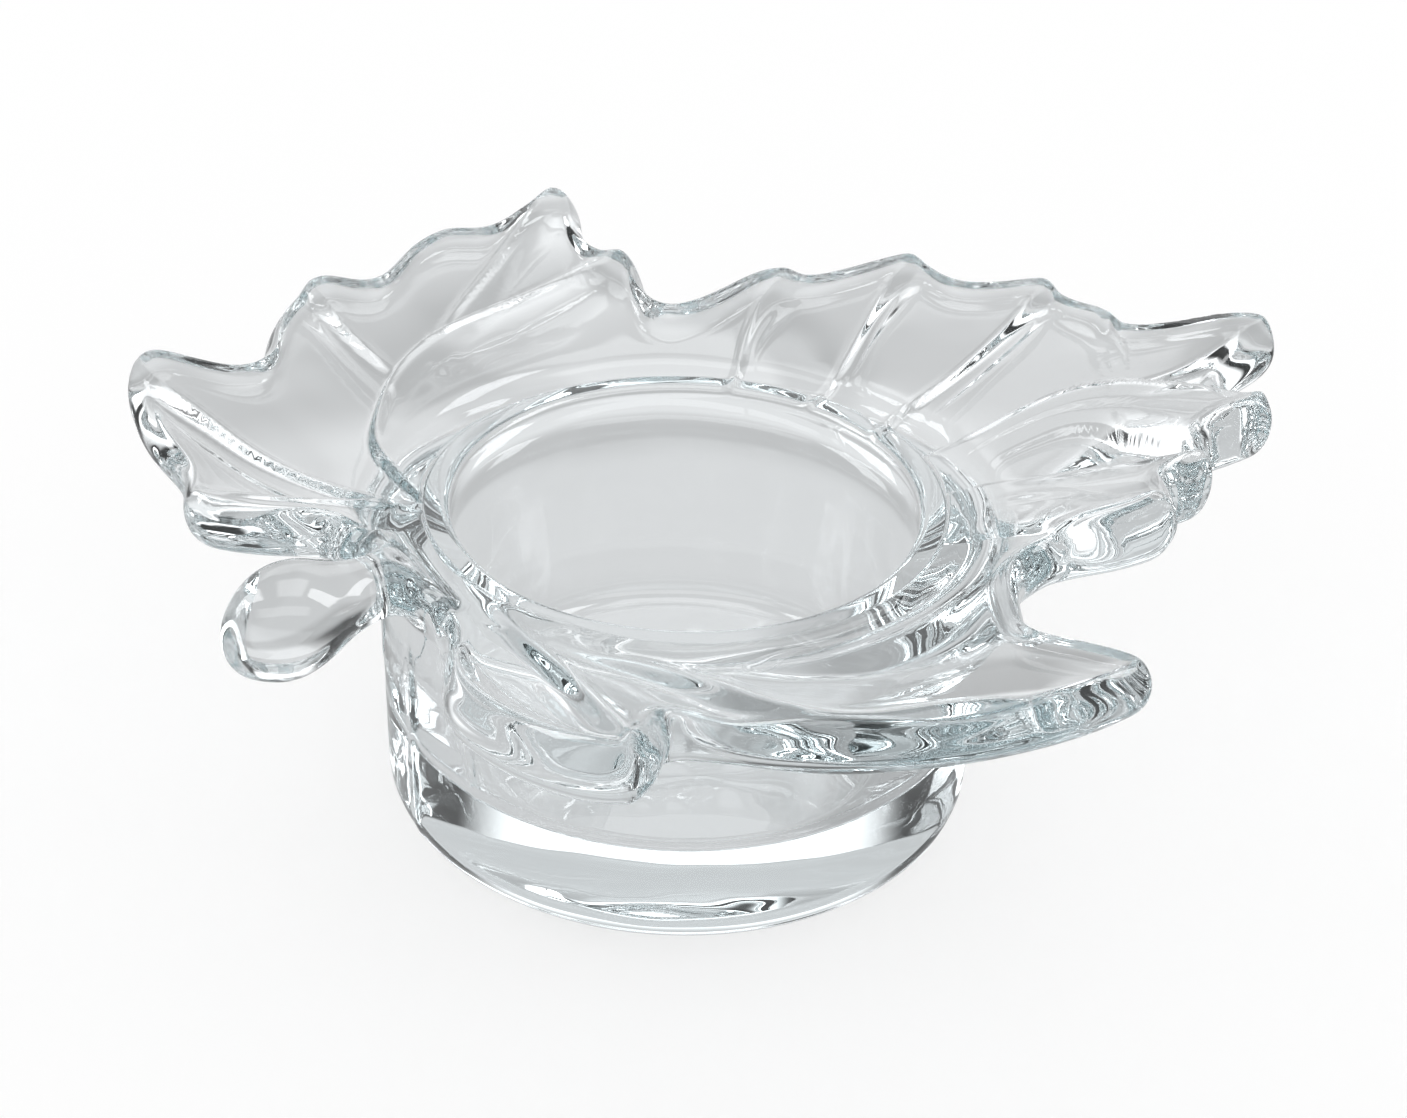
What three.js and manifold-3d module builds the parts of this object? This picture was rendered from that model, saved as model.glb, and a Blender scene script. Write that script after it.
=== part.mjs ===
// Glass candle holder: a heavy cup whose mouth opens into a lobed, toothed leaf with a short stem.
// The real one is a single pressing of clear glass. Base, cup, leaf and stem are modelled as four bodies
// a hairline apart, parted where one form ends and the next begins.
// Millimetres, +Z up. The origin is the centre of the foot, and +X runs from the stem to the leaf tip.

import * as THREE from 'three';
import { mergeVertices } from 'three/addons/utils/BufferGeometryUtils.js';
import Module from 'manifold-3d';

// Cup
const WELL_RADIUS = 30; // at the mouth
const WELL_DRAFT = 1.5; // the well narrows by this much towards its floor
const WELL_FILLET = 3.5;
const WALL = 8.4; // from the mouth's edge to the outside of the cup, at the foot
const CUP_FLARE = 0.9; // how far the outside leans out from the foot to the leaf
const CUP_HEIGHT = 43; // foot to lip
const FLOOR = 11; // solid glass under the well
const SEAT_STEP = 2; // how far the well's flat floor stands above the base's shoulder
const FOOT_ROUNDING = 6;
const LIP = 3.5; // width of the cup's rim, inside the leaf's collar
const LIP_ROUNDING = 1.2; // of the rim's inner edge
const HAIRLINE = 0.3; // gap between the bodies

// Leaf blade
const BLADE = 6.5; // thickness of the blade at the cup
const THINNING = 1; // how much thinner the blade becomes far from the cup
const EDGE_ROUNDING = 2.6; // how far in from its outline the blade's edge is rounded
const LARGEST_EDGE_SHARE = 0.5; // of a short section that the rounding may take
const LIFT_MEAN = 6.6; // rise of the blade above the mouth, averaged round the leaf
const LIFT_TIP = 3.5; // how much higher the tip's side lies than the stem's side, halved
const LIFT_SIDES = 5.1; // how much higher the side lobes lie than tip and stem, halved
const LIFT_RUN = 20; // distance from the collar over which most of the rise happens

// Veins
const VEIN_RADIUS = 2.2;
const VEIN_HEIGHT = 0.9; // crest of a vein above the blade

// Stem
const STEM_LENGTH = 25.2; // beyond the cup wall
const STEM_LAP = 1.5; // how far its root reaches inside the wall, over the leaf's edge
const STEM_ROOT_RADIUS = 4.2;
const STEM_ROOT_ROUNDING = 3;
const STEM_END_RADIUS = 7.2;
const STEM_END_ROUNDING = 5.5;
const STEM_DROOP = 6.5; // degrees below level
const STEM_DROP = 0.3; // root axis below the mouth

// Facets
const CUP_SEGMENTS = 72;
const CUP_ARC_STEPS = 3; // in each half of an arc
const STEM_SEGMENTS = 24;
const STEM_ARC_STEPS = 4;
const SPOKES_PER_POINT = 2; // blade sections between two points of the outline
const BLADE_STEPS = 4; // from the collar to the rounded edge
const EDGE_STEPS = 4; // round half of the edge
const VEIN_SIDES = 8;
const VEIN_STEP = 4; // length of a vein's facets

const CUP_RADIUS = WELL_RADIUS + WALL;
const SHOULDER_RADIUS = CUP_RADIUS + CUP_FLARE;
const WELL_FLOOR_RADIUS = WELL_RADIUS - WELL_DRAFT - WELL_FILLET;
const COLLAR_RADIUS = WELL_RADIUS + LIP + HAIRLINE;
const LEAF_SEAT = CUP_HEIGHT - BLADE;

// The leaf's outline, counter-clockwise from the tip: bearing from +X in degrees, overhang past the cup
// wall and, at some points, the bearing at which that stretch of the blade leaves the collar.
const TIP_TOOTH = [[-7, 44, -9], [-3, 52.6], [-1, 55.2], [0.6, 56.5, -7], [1.8, 56.4], [2.4, 49.5],
  [4, 42, -3.5]];
const BACK_TEETH = [[7.5, 40], [10, 39.5, 0], [14.1, 37.2], [16.7, 37.8, 4], [18.6, 38, 8], [22.4, 32.9],
  [25.7, 30], [28.2, 30, 24], [30.6, 31.2], [33.2, 31, 28.5], [38.6, 24.1], [43.8, 19.3, 44], [47, 19, 49],
  [50.4, 17.4, 52], [58.5, 10.6], [63.5, 8.6, 63]];
const BACK_SIDE_LOBE = [[66.2, 9.2], [67.4, 13], [68.2, 17, 71], [70.4, 19.2], [73.4, 20.4, 76], [74.4, 25],
  [73.7, 30], [74.2, 34.8], [76.4, 36.2, 84], [78.8, 35], [82.2, 31.8], [86.6, 29.1, 90], [90.5, 31.1],
  [95.6, 30], [104.7, 25.8, 104], [106.9, 28.8], [108.5, 30.8], [110.8, 31, 112], [115.5, 29.9],
  [120.2, 28], [125, 25.6, 134]];
const BACK_BASAL_LOBE = [[127.6, 27], [128.8, 32], [129.4, 37.6], [130.4, 39.8, 148], [132.4, 40.2],
  [137, 37.2], [141.5, 33.6, 153], [148.5, 26.4], [152.7, 25.4, 158], [155.3, 23.4], [157.6, 16.6],
  [161, 6.4, 164]];
const STEM_SINUS = [[180, 2, 180], [197, 3.5, 196]];
const FRONT_BASAL_LOBE = [[210, 15.5, 208], [222, 23], [231, 27.5], [236, 28, 232], [238.5, 24],
  [239, 19, 237]];
const FRONT_SIDE_LOBE = [[242.5, 20.5, 242], [250, 25], [258, 29.2, 250], [267, 33], [276, 35],
  [283, 36, 258], [286.5, 36, 262], [288, 33], [288, 26.5, 267], [287, 19.5, 274], [293.5, 14, 288],
  [304, 8.2, 304]];
const FRONT_TEETH = [[312.5, 11], [316, 17], [318.3, 20.5, 320], [321.2, 23.6], [324, 24.8, 325],
  [327.5, 23.9], [329.2, 26], [331.5, 29.4, 332], [335, 30.4], [338.2, 30.5], [341, 33.6, 338], [342.8, 39],
  [345, 43], [348, 44.4, 345], [351, 43.8, 349]];
const OUTLINE = [...TIP_TOOTH, ...BACK_TEETH, ...BACK_SIDE_LOBE, ...BACK_BASAL_LOBE, ...STEM_SINUS,
  ...FRONT_BASAL_LOBE, ...FRONT_SIDE_LOBE, ...FRONT_TEETH];

// The veins that show as ridges, as bearings and overhangs from the collar outwards.
const VEINS = {
  midrib: [[-7, 0], [-6, 9], [-5, 20], [-4, 37], [0, 52]],
  tipTooth: [[-6, 22], [-10, 31], [-13.5, 40]],
  frontTooth: [[-26, 1], [-28, 11], [-27, 26]],
  frontInnerTooth: [[-32, 1], [-35, 9], [-38, 20]],
  backTipTooth: [[-5, 25], [2, 31], [8.5, 36]],
  backTooth: [[9.5, 1], [12.5, 16], [17.5, 35]],
  backMiddleTooth: [[28, 1], [30.5, 10], [32.5, 27]],
  backInnerTooth: [[49, 1], [48.5, 6], [46.5, 15]],
  backRib: [[150, 0], [137, 3], [125, 6], [107, 9], [86, 10], [75, 14], [71, 16.5]],
  backSideLobe: [[106, 9.5], [98, 13], [88, 20], [77.5, 32]],
  backSideTooth: [[118, 9], [115, 19], [111.5, 27]],
  backBasalLobe: [[156, 0], [149, 10], [141, 23], [133, 36]],
  backSmallLobe: [[158, 1], [155.5, 8], [154, 20]],
  frontSideLobe: [[-146, 1], [-134, 4], [-126, 6], [-109, 20], [-95, 28], [-77, 33]],
  frontBasalLobe: [[-163, 0.5], [-147, 3], [-135, 13], [-125, 24]],
};

const GLASS = new THREE.MeshStandardMaterial({
  name: 'clear glass',
  color: 0xe4ebec,
  roughness: 0.03,
  metalness: 0,
  transparent: true,
  opacity: 0.35,
});

const wasm = await Module();
wasm.setup();

// A closed geometry as a solid that can be joined and cut.
function toSolid(geometry) {
  const bare = new THREE.BufferGeometry();
  bare.setAttribute('position', geometry.getAttribute('position').clone());
  bare.setIndex(geometry.index);
  const merged = mergeVertices(bare);
  const triVerts = [];
  for (let i = 0; i < merged.index.count; i += 3) {
    const [a, b, c] = merged.index.array.slice(i, i + 3);
    const isTriangle = a !== b && b !== c && c !== a;
    if (isTriangle) triVerts.push(a, b, c);
  }
  const vertProperties = merged.getAttribute('position').array;
  const mesh = new wasm.Mesh({ numProp: 3, vertProperties, triVerts: Uint32Array.from(triVerts) });
  return new wasm.Manifold(mesh);
}

// A solid as a geometry that a mesh can hold.
function toGeometry(solid) {
  const { vertProperties, triVerts } = solid.getMesh();
  const geometry = new THREE.BufferGeometry();
  geometry.setAttribute('position', new THREE.BufferAttribute(Float32Array.from(vertProperties), 3));
  geometry.setIndex(new THREE.BufferAttribute(Uint32Array.from(triVerts), 1));
  geometry.computeVertexNormals();
  return geometry;
}

// A revolved profile of (radius, height) points, standing along +Z.
function revolve(path, segments, arcSteps) {
  return new THREE.LatheGeometry(path.getPoints(arcSteps), segments).rotateX(Math.PI / 2);
}

function polar(bearing, radius, height = 0) {
  const angle = THREE.MathUtils.degToRad(bearing);
  return new THREE.Vector3(radius * Math.cos(angle), radius * Math.sin(angle), height);
}

// Rise of a blade surface that leaves the cup at radius start: the side lobes climb most, the tip less,
// and the stem's side sinks a little.
function lift(x, y, start) {
  const bearing = Math.atan2(y, x);
  const height = LIFT_MEAN + LIFT_TIP * Math.cos(bearing) - LIFT_SIDES * Math.cos(2 * bearing);
  const run = Math.max(Math.hypot(x, y) - start, 0);
  return height * (1 - Math.exp(-run / LIFT_RUN));
}

function bladeTop(x, y) {
  return CUP_HEIGHT + lift(x, y, COLLAR_RADIUS);
}

function bladeBottom(x, y) {
  const run = Math.max(Math.hypot(x, y) - CUP_RADIUS, 0);
  return LEAF_SEAT + lift(x, y, CUP_RADIUS) + THINNING * (1 - Math.exp(-run / LIFT_RUN));
}

// Bearings at which the outline's points leave the collar: given, or spread evenly between given ones.
function collarBearings() {
  const given = OUTLINE.flatMap(([, , root], i) => (root === undefined ? [] : [i]));
  return OUTLINE.map((_, i) => {
    const before = given.findLast((j) => j <= i);
    const after = given.find((j) => j >= i);
    const share = after === before ? 0 : (i - before) / (after - before);
    return THREE.MathUtils.lerp(OUTLINE[before][2], OUTLINE[after][2], share);
  });
}

// Straight sections of the blade, each from the collar to the outline, grown outwards by some clearance.
function bladeSpokes(growth) {
  const points = OUTLINE.map(([bearing, overhang]) => polar(bearing, CUP_RADIUS + overhang + growth));
  const outline = new THREE.CatmullRomCurve3(points, true, 'centripetal');
  const roots = collarBearings();
  roots.push(roots[0] + 360);
  const count = OUTLINE.length * SPOKES_PER_POINT;
  return Array.from({ length: count }, (_, i) => {
    const key = Math.floor(i / SPOKES_PER_POINT);
    const share = i / SPOKES_PER_POINT - key;
    const bearing = THREE.MathUtils.lerp(roots[key], roots[key + 1], share);
    return { root: polar(bearing, COLLAR_RADIUS), end: outline.getPoint(i / count) };
  });
}

// Plan distance from a point to the blade's outline.
function distanceToOutline(point, spokes) {
  const nearest = new THREE.Vector3();
  const side = new THREE.Line3();
  const distances = spokes.map(({ end }, i) => {
    side.set(end, spokes[(i + 1) % spokes.length].end);
    return side.closestPointToPoint(point, true, nearest).distanceTo(point);
  });
  return Math.min(...distances);
}

// Shares of a spoke's length at which the blade is sectioned, crowding towards the rounded edge.
function sectionShares(length) {
  const edgeStart = 1 - Math.min(EDGE_ROUNDING / length, LARGEST_EDGE_SHARE);
  const flat = Array.from({ length: BLADE_STEPS }, (_, i) => (edgeStart * i) / BLADE_STEPS);
  const edge = Array.from({ length: EDGE_STEPS }, (_, i) => {
    const turn = (Math.PI / 2) * (i / EDGE_STEPS);
    return edgeStart + (1 - edgeStart) * Math.sin(turn);
  });
  return [...flat, ...edge];
}

// One closed section of the blade: along the underside to the outline and back along the top.
function bladeSection({ root, end }, spokes, growth) {
  const under = [];
  const over = [];
  for (const share of sectionShares(root.distanceTo(end))) {
    const spot = root.clone().lerp(end, share);
    const inset = Math.min(distanceToOutline(spot, spokes) / EDGE_ROUNDING, 1);
    const fullness = Math.sqrt(1 - (1 - inset) ** 2);
    const top = bladeTop(spot.x, spot.y) + growth;
    const bottom = bladeBottom(spot.x, spot.y) - growth;
    const middle = (top + bottom) / 2;
    const half = ((top - bottom) / 2) * fullness;
    under.push(spot.clone().setZ(middle - half));
    over.unshift(spot.clone().setZ(middle + half));
  }
  const edgeHeight = (bladeTop(end.x, end.y) + bladeBottom(end.x, end.y)) / 2;
  return [...under, end.clone().setZ(edgeHeight), ...over];
}

// A ring-shaped solid skinned over closed sections that stand round the cup.
function skinRing(sections) {
  const size = sections[0].length;
  const index = [];
  sections.forEach((_, i) => {
    const here = i * size;
    const next = ((i + 1) % sections.length) * size;
    for (let j = 0; j < size; j += 1) {
      const k = (j + 1) % size;
      index.push(here + j, next + j, next + k, here + j, next + k, here + k);
    }
  });
  return new THREE.BufferGeometry().setFromPoints(sections.flat()).setIndex(index);
}

function makeBlade(growth = 0) {
  const spokes = bladeSpokes(growth);
  return skinRing(spokes.map((spoke) => bladeSection(spoke, spokes, growth)));
}

// A round bar sunk along the blade so that only its crest shows, level with the blade at both ends.
function makeVein(route) {
  const points = route.map(([bearing, overhang], i) => {
    const spot = polar(bearing, CUP_RADIUS + overhang);
    const isEnd = i === 0 || i === route.length - 1;
    const crest = isEnd ? 0 : VEIN_HEIGHT;
    return spot.setZ(bladeTop(spot.x, spot.y) + crest - VEIN_RADIUS);
  });
  const extrudePath = new THREE.CatmullRomCurve3(points);
  const steps = Math.ceil(extrudePath.getLength() / VEIN_STEP);
  const section = new THREE.Shape().absarc(0, 0, VEIN_RADIUS, 0, 2 * Math.PI);
  return new THREE.ExtrudeGeometry(section, { extrudePath, steps, curveSegments: VEIN_SIDES / 2 });
}

// The base: solid glass with a rounded foot, stepped up to the well's flat floor.
function makeBase() {
  const shoulder = FLOOR - SEAT_STEP - HAIRLINE;
  const seatRadius = WELL_FLOOR_RADIUS - HAIRLINE;
  const profile = new THREE.Path();
  profile.moveTo(0, 0);
  profile.lineTo(CUP_RADIUS - FOOT_ROUNDING, 0);
  profile.absarc(CUP_RADIUS - FOOT_ROUNDING, FOOT_ROUNDING, FOOT_ROUNDING, -Math.PI / 2, 0);
  profile.lineTo(CUP_RADIUS, shoulder);
  profile.lineTo(seatRadius, shoulder);
  profile.lineTo(seatRadius, FLOOR);
  profile.lineTo(0, FLOOR);
  return revolve(profile, CUP_SEGMENTS, CUP_ARC_STEPS);
}

// The cup: a flared wall with a shoulder that seats the leaf, a flat rim and a fillet round the well.
function makeCup() {
  const seat = FLOOR - SEAT_STEP;
  const shoulder = LEAF_SEAT - HAIRLINE;
  const rounding = Math.min(LIP_ROUNDING, LIP);
  const profile = new THREE.Path();
  profile.moveTo(WELL_FLOOR_RADIUS, seat);
  profile.lineTo(CUP_RADIUS, seat);
  profile.lineTo(SHOULDER_RADIUS, shoulder);
  profile.lineTo(WELL_RADIUS + LIP, shoulder);
  profile.lineTo(WELL_RADIUS + LIP, CUP_HEIGHT);
  profile.absarc(WELL_RADIUS + rounding, CUP_HEIGHT - rounding, rounding, Math.PI / 2, Math.PI);
  profile.lineTo(WELL_RADIUS - WELL_DRAFT, FLOOR + WELL_FILLET);
  profile.absarc(WELL_FLOOR_RADIUS, FLOOR + WELL_FILLET, WELL_FILLET, 0, -Math.PI / 2, true);
  profile.lineTo(WELL_FLOOR_RADIUS, seat);
  return revolve(profile, CUP_SEGMENTS, CUP_ARC_STEPS);
}

function makeLeaf() {
  const veins = Object.values(VEINS).map((route) => toSolid(makeVein(route)));
  const leaf = veins.reduce((body, vein) => body.add(vein), toSolid(makeBlade()));
  return toGeometry(leaf);
}

// The stem: a club with a round shoulder at its root that sits on the leaf's edge, swelling to its end.
function makeStem() {
  const length = STEM_LENGTH + STEM_LAP;
  const rootRounding = Math.min(STEM_ROOT_ROUNDING, STEM_ROOT_RADIUS);
  const endRounding = Math.min(STEM_END_ROUNDING, STEM_END_RADIUS);
  const swellEnd = length - endRounding;
  const halfway = (rootRounding + swellEnd) / 2;
  const profile = new THREE.Path();
  profile.moveTo(0, 0);
  profile.lineTo(STEM_ROOT_RADIUS - rootRounding, 0);
  profile.absarc(STEM_ROOT_RADIUS - rootRounding, rootRounding, rootRounding, -Math.PI / 2, 0);
  profile.bezierCurveTo(STEM_ROOT_RADIUS, halfway, STEM_END_RADIUS, halfway, STEM_END_RADIUS, swellEnd);
  profile.absarc(STEM_END_RADIUS - endRounding, swellEnd, endRounding, 0, Math.PI / 2);
  profile.lineTo(0, length);
  const droop = THREE.MathUtils.degToRad(STEM_DROOP);
  const club = revolve(profile, STEM_SEGMENTS, STEM_ARC_STEPS);
  club.rotateY(-Math.PI / 2 - droop);
  club.translate(-(CUP_RADIUS - STEM_LAP), 0, CUP_HEIGHT - STEM_DROP);
  const clearRadius = SHOULDER_RADIUS + HAIRLINE;
  const cupRoom = new THREE.CylinderGeometry(clearRadius, clearRadius, LEAF_SEAT, CUP_SEGMENTS);
  cupRoom.rotateX(Math.PI / 2);
  cupRoom.translate(0, 0, LEAF_SEAT / 2);
  return toGeometry(toSolid(club).subtract(toSolid(cupRoom)).subtract(toSolid(makeBlade(HAIRLINE))));
}

function addPart(group, name, geometry) {
  const mesh = new THREE.Mesh(geometry, GLASS.clone());
  mesh.name = name;
  group.add(mesh);
}

const holder = new THREE.Group();
addPart(holder, 'base', makeBase());
addPart(holder, 'cup', makeCup());
addPart(holder, 'leaf', makeLeaf());
addPart(holder, 'stem', makeStem());

export default holder;
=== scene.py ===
"""A leaf-shaped candle holder of clear pressed glass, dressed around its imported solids.

The holder is one unbroken skin of glass: a well, a rolled lip, a lobed blade with veins and a stem,
the blade's underside, the cup wall and the foot, lofted as one surface over two parameters.
"""

import logging
import math
from dataclasses import dataclass
from enum import Enum

import bpy
import numpy as np
from mathutils import Matrix, Vector


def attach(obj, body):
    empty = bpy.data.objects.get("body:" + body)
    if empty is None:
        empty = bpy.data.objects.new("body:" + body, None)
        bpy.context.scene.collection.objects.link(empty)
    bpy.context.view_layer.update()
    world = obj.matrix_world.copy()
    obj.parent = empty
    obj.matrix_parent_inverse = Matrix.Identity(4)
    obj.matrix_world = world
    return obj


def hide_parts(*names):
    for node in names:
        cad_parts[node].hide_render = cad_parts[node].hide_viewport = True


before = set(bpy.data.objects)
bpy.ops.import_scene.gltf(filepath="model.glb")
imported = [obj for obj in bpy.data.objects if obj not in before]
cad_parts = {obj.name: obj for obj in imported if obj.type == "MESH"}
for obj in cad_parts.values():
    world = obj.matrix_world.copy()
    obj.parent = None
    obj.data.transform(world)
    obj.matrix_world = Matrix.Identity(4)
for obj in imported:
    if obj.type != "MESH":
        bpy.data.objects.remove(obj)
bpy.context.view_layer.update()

LOG = logging.getLogger("leaf_holder")

MM = 0.001
IMAGE_WIDTH = 1407
IMAGE_HEIGHT = 1118
TOWARDS_CAMERA = np.array([-0.5, -0.866])
HALVINGS = 30
STRIPS = 40
WHITE = (1.0, 1.0, 1.0, 1.0)


class SteepSide(Enum):
    """The side of a vein, walking from the stem or lip to the leaf's edge, on which the blade drops away."""

    LEFT = 1.0
    RIGHT = -1.0


class PanelForm(Enum):
    """The fall from a vein's crest across its panel, as the powers a and b of (1 - t^a)^b."""

    HOLLOW = (1.0, 2.0)
    FULL = (3.0, 1.0)


@dataclass(frozen=True)
class Vein:
    """A vein: a pleat of the blade that climbs to a crest and drops on its steep side, with a cord on it.

    Its route is a list of (bearing in degrees, overhang past the cup wall in millimetres).
    """

    route: tuple
    steep: SteepSide
    form: PanelForm = PanelForm.HOLLOW
    height: float = 2.0
    root_share: float = 0.15
    rim_share: float = 0.55
    panel: float = 12.0
    step: float = 1.0
    rim_step: float = 3.0
    crest: float = 0.5
    cord_height: float = 0.4
    cord_width: float = 0.6
    cord_start: float = 0.2
    droop: float = 0.0
    droop_reach: float = 7.0


@dataclass
class Cup:
    """Sizes of the cup in millimetres."""

    well_radius: float = 30.0
    well_draft: float = 1.5
    well_fillet: float = 3.5
    wall: float = 8.4
    height: float = 43.0
    floor: float = 11.0
    foot_rounding: float = 6.0
    flare: float = 0.9
    lip_width: float = 3.6
    lip_rise: float = 0.35
    lip_inner_rounding: float = 1.3
    lip_outer_rounding: float = 0.35
    flush_bearing: float = -115.0
    flush_span: tuple = (0.3, 0.75)
    cord_run: float = 1.0
    seam_height: float = 0.15
    seam_width: float = 1.0
    seam_end: float = 0.3
    floor_rings: tuple = (0.3, 0.7)
    base_rings: tuple = (0.75, 0.4)
    arc_steps: int = 5
    lip_edge_steps: int = 3
    wall_steps: int = 6
    foot_steps: int = 7
    ease_span: tuple = (0.1, 0.9)

    @property
    def radius(self) -> float:
        """Outer radius of the wall."""
        return self.well_radius + self.wall

    @property
    def shoulder_radius(self) -> float:
        """Outer radius of the wall under the blade."""
        return self.radius + self.flare

    @property
    def lip_radius(self) -> float:
        """Radius at which the rolled lip meets the blade."""
        return self.well_radius + self.lip_width

    def well(self, bearings: np.ndarray) -> np.ndarray:
        """Works out the well's skin from near its floor's centre up to the inside of the lip.

        Each bearing carries the same profile: a flat floor, a quarter-round fillet and a straight wall
        that leans out by the draft. Down the wall the bearings ease into even ones.

        Args:
            bearings: Angles round the cup in radians.

        Returns:
            Points of shape (bearings, profile points, 3) in millimetres.
        """
        flat = self.well_radius - self.well_draft - self.well_fillet
        turn = quarter(self.arc_steps)
        rise = np.linspace(0.0, 1.0, self.wall_steps + 1)[1:]
        radius = np.concatenate([
            flat * np.array(self.floor_rings),
            flat + self.well_fillet * np.sin(turn),
            self.well_radius - self.well_draft * (1.0 - rise),
        ])
        fillet_top = self.floor + self.well_fillet
        wall_top = self.height - self.lip_inner_rounding
        height = np.concatenate([
            np.full(len(self.floor_rings), self.floor),
            fillet_top - self.well_fillet * np.cos(turn),
            fillet_top + (wall_top - fillet_top) * rise,
        ])
        ease = np.concatenate([np.ones(len(radius) - len(rise)), 1.0 - smooth(rise, *self.ease_span)])
        return revolved(radius, height, eased(bearings, ease))

    def lip(self, bearings: np.ndarray) -> np.ndarray:
        """Works out the lip: a round inner edge, a flat land and a small round outer edge down to the blade.

        Its rise sinks to nothing at the flush bearing, where the lip runs straight into the blade.

        Args:
            bearings: Angles round the cup in radians.

        Returns:
            Points of shape (bearings, profile points, 3) in millimetres.
        """
        inner = quarter(self.arc_steps)[1:]
        outer = quarter(self.lip_edge_steps)[:-1]
        land_end = self.lip_radius - self.lip_outer_rounding
        radius = np.concatenate([
            self.well_radius + self.lip_inner_rounding * (1.0 - np.cos(inner)),
            land_end + self.lip_outer_rounding * np.sin(outer),
        ])
        rounding = self.lip_inner_rounding * (1.0 - np.sin(inner))
        standing = np.concatenate([np.ones(len(inner)), np.cos(outer)])
        lip = revolved(radius, np.full(len(radius), self.height), bearings)
        flush = smooth(np.cos(bearings - math.radians(self.flush_bearing)), *self.flush_span)
        lip[..., 2] += self.lip_rise * (1.0 - flush)[:, None] * standing
        lip[:, :len(inner), 2] -= rounding
        return lip

    def outside(self, bearings: np.ndarray, top: np.ndarray) -> np.ndarray:
        """Works out the outer wall, the rounded foot and the flat base, from the blade downwards.

        The wall falls straight from the given height, leaning in by the flare, to the foot's quarter
        round, while the bearings ease into even ones. A mould seam stands out under the stem as a narrow
        bell curve.

        Args:
            bearings: Angles round the cup in radians.
            top: Height of the wall's first ring at each bearing, in millimetres.

        Returns:
            Points of shape (bearings, profile points, 3) in millimetres.
        """
        drop = np.linspace(0.0, 1.0, self.wall_steps + 1)[1:]
        turn = quarter(self.foot_steps)[1:]
        flat = self.radius - self.foot_rounding
        rings = np.concatenate([
            self.shoulder_radius - self.flare * drop,
            flat + self.foot_rounding * np.cos(turn),
            flat * np.array(self.base_rings),
        ])
        ease = np.concatenate([smooth(drop, *self.ease_span), np.ones(len(rings) - len(drop))])
        turned = eased(bearings, ease)
        skin = revolved(rings, np.zeros(len(rings)), turned)
        wall = top[:, None] + (self.foot_rounding - top[:, None]) * drop
        foot = np.broadcast_to(self.foot_rounding * (1.0 - np.sin(turn)), (len(bearings), len(turn)))
        base = np.zeros((len(bearings), len(self.base_rings)))
        skin[..., 2] = np.concatenate([wall, foot, base], axis=1)
        across = self.radius * np.sin(turned)
        behind = np.cos(turned) < 0.0
        seam = np.where(behind, self.seam_height * np.exp(-((across / self.seam_width) ** 2)), 0.0)
        skin[..., 0] -= seam * (skin[..., 2] > self.foot_rounding * self.seam_end)
        return skin


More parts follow.
